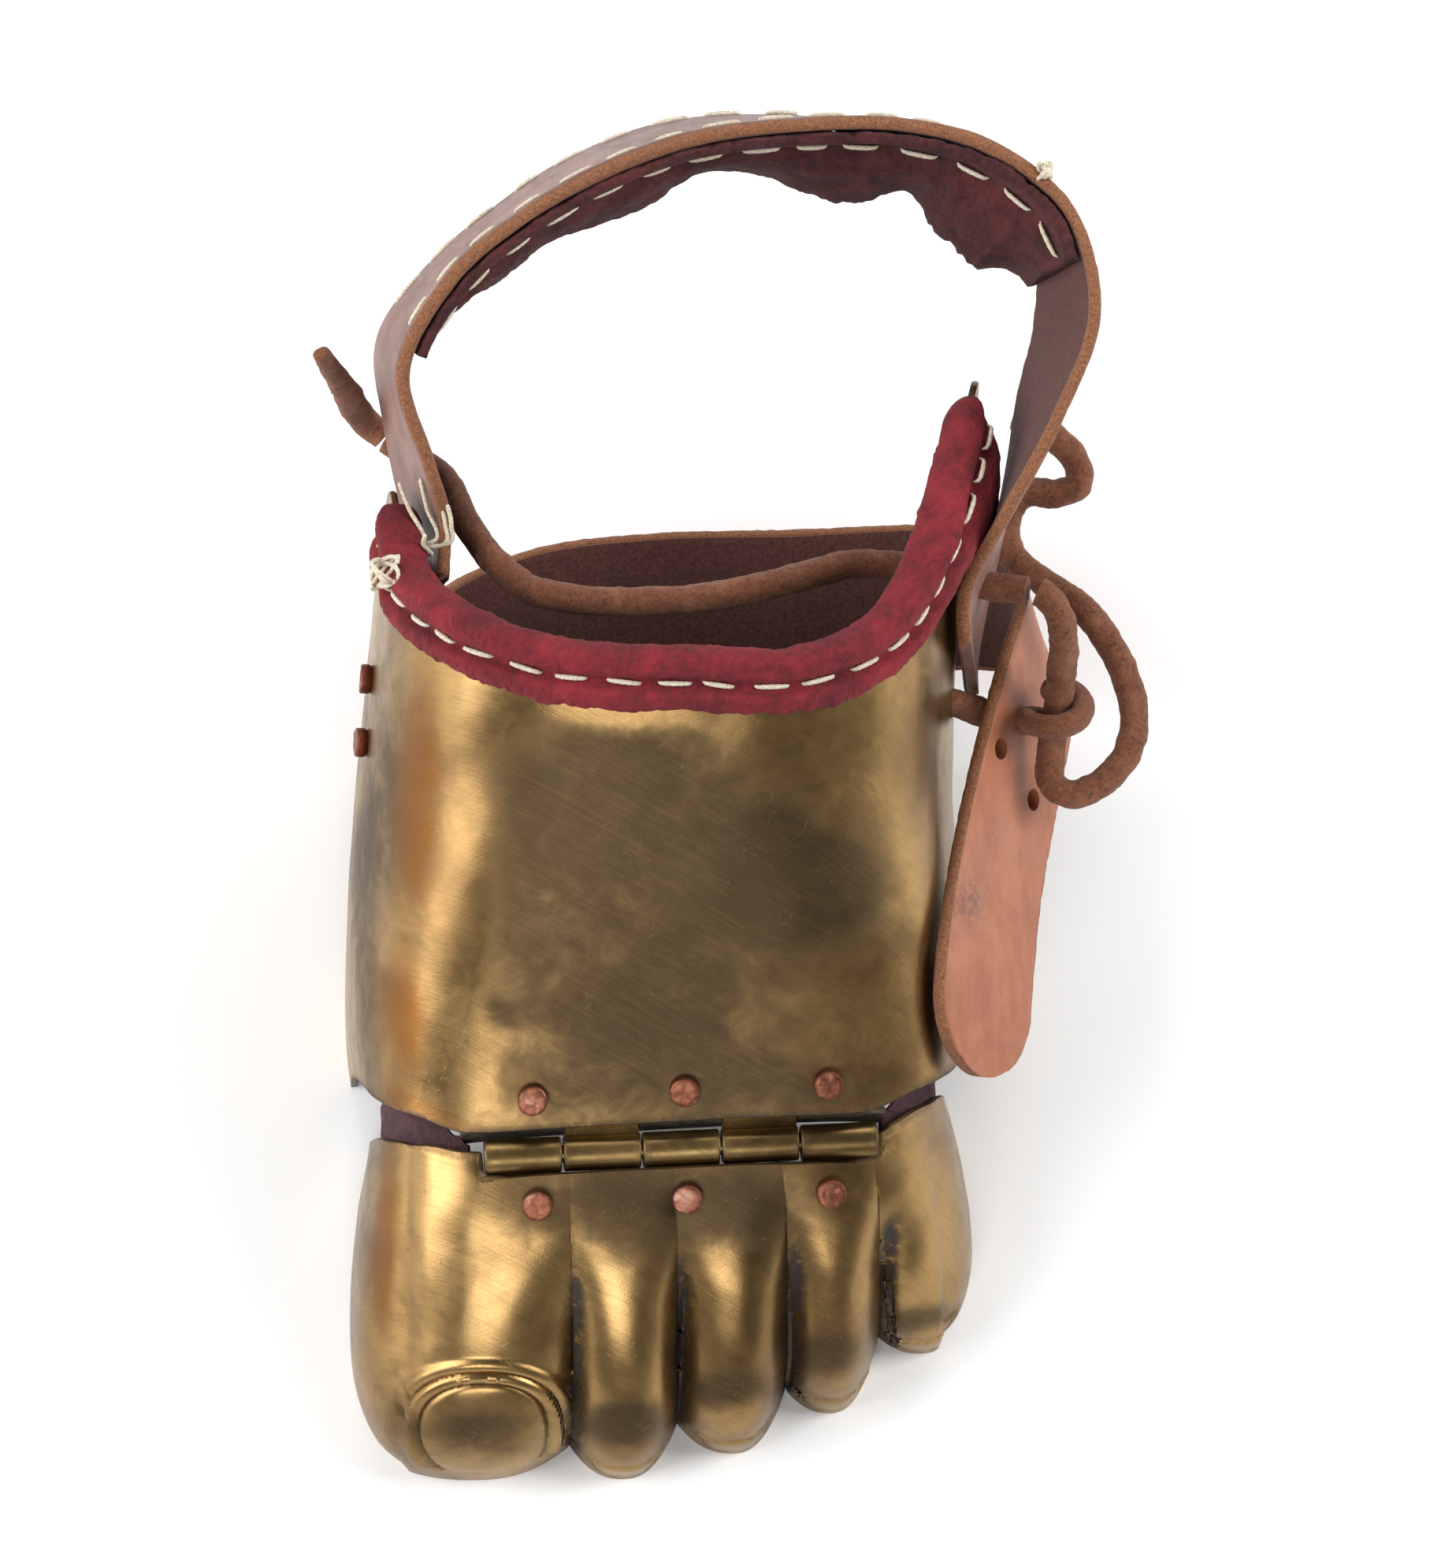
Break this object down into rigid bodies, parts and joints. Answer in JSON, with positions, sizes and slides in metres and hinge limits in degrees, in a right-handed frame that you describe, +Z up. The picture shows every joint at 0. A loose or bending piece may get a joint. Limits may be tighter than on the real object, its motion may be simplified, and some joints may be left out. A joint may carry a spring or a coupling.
{
  "type": "hoplite foot guard",
  "caption": "Hinged brass guard for the toes and instep of a left foot, open underneath, with a leather ankle strap and an arch strap.",
  "frame": {"origin": "middle of the guard's box at floor level, without the loose lace", "axes": "+Z up, toes to -Y, the outer (lateral) side of the left foot to +X"},
  "size_m": [0.1491, 0.227, 0.1123],
  "materials": {
    "plate_brass": "formed sheet, brushed, with a smoky brown patina",
    "hinge_brass": "drawn, dull",
    "copper": "copper, hammered flat",
    "strap_leather": "natural grain, dark on the flesh side",
    "burgundy_suede": "rough suede",
    "red_suede": "napped suede",
    "lace_leather": "rough cut thong"
  },
  "bodies": {
    "instep": {"ankle_strap": "strap_leather", "ankle_strap_lining": "burgundy_suede", "collar_trim": "red_suede", "heel_strap": "strap_leather", "hinge_leaf_instep": "hinge_brass", "hinge_pin": "hinge_brass", "instep_plate": "plate_brass", "lace_bar": "lace_leather", "lace_end": "lace_leather", "lace_knot": "lace_leather", "lace_loop": "lace_leather", "lace_run": "lace_leather", "lace_strand": "lace_leather", "rivet_instep_1": "copper", "rivet_instep_2": "copper", "rivet_instep_3": "copper", "rivet_side_1": "copper", "rivet_side_2": "copper", "rivet_side_3": "copper"},
    "toe": {"hinge_leaf_toe": "hinge_brass", "rivet_toe_1": "copper", "rivet_toe_2": "copper", "rivet_toe_3": "copper", "toe_lining_lateral": "burgundy_suede", "toe_lining_medial": "burgundy_suede", "toe_plate": "plate_brass"}
  },
  "joints": [
    {"name": "toe_hinge", "type": "hinge", "parent": "instep", "child": "toe", "pos_m": [-0.00749, -0.06445, 0.04385], "axis": [-0.999, -0.0454, 0], "range_deg": [-8, 40]}
  ]
}
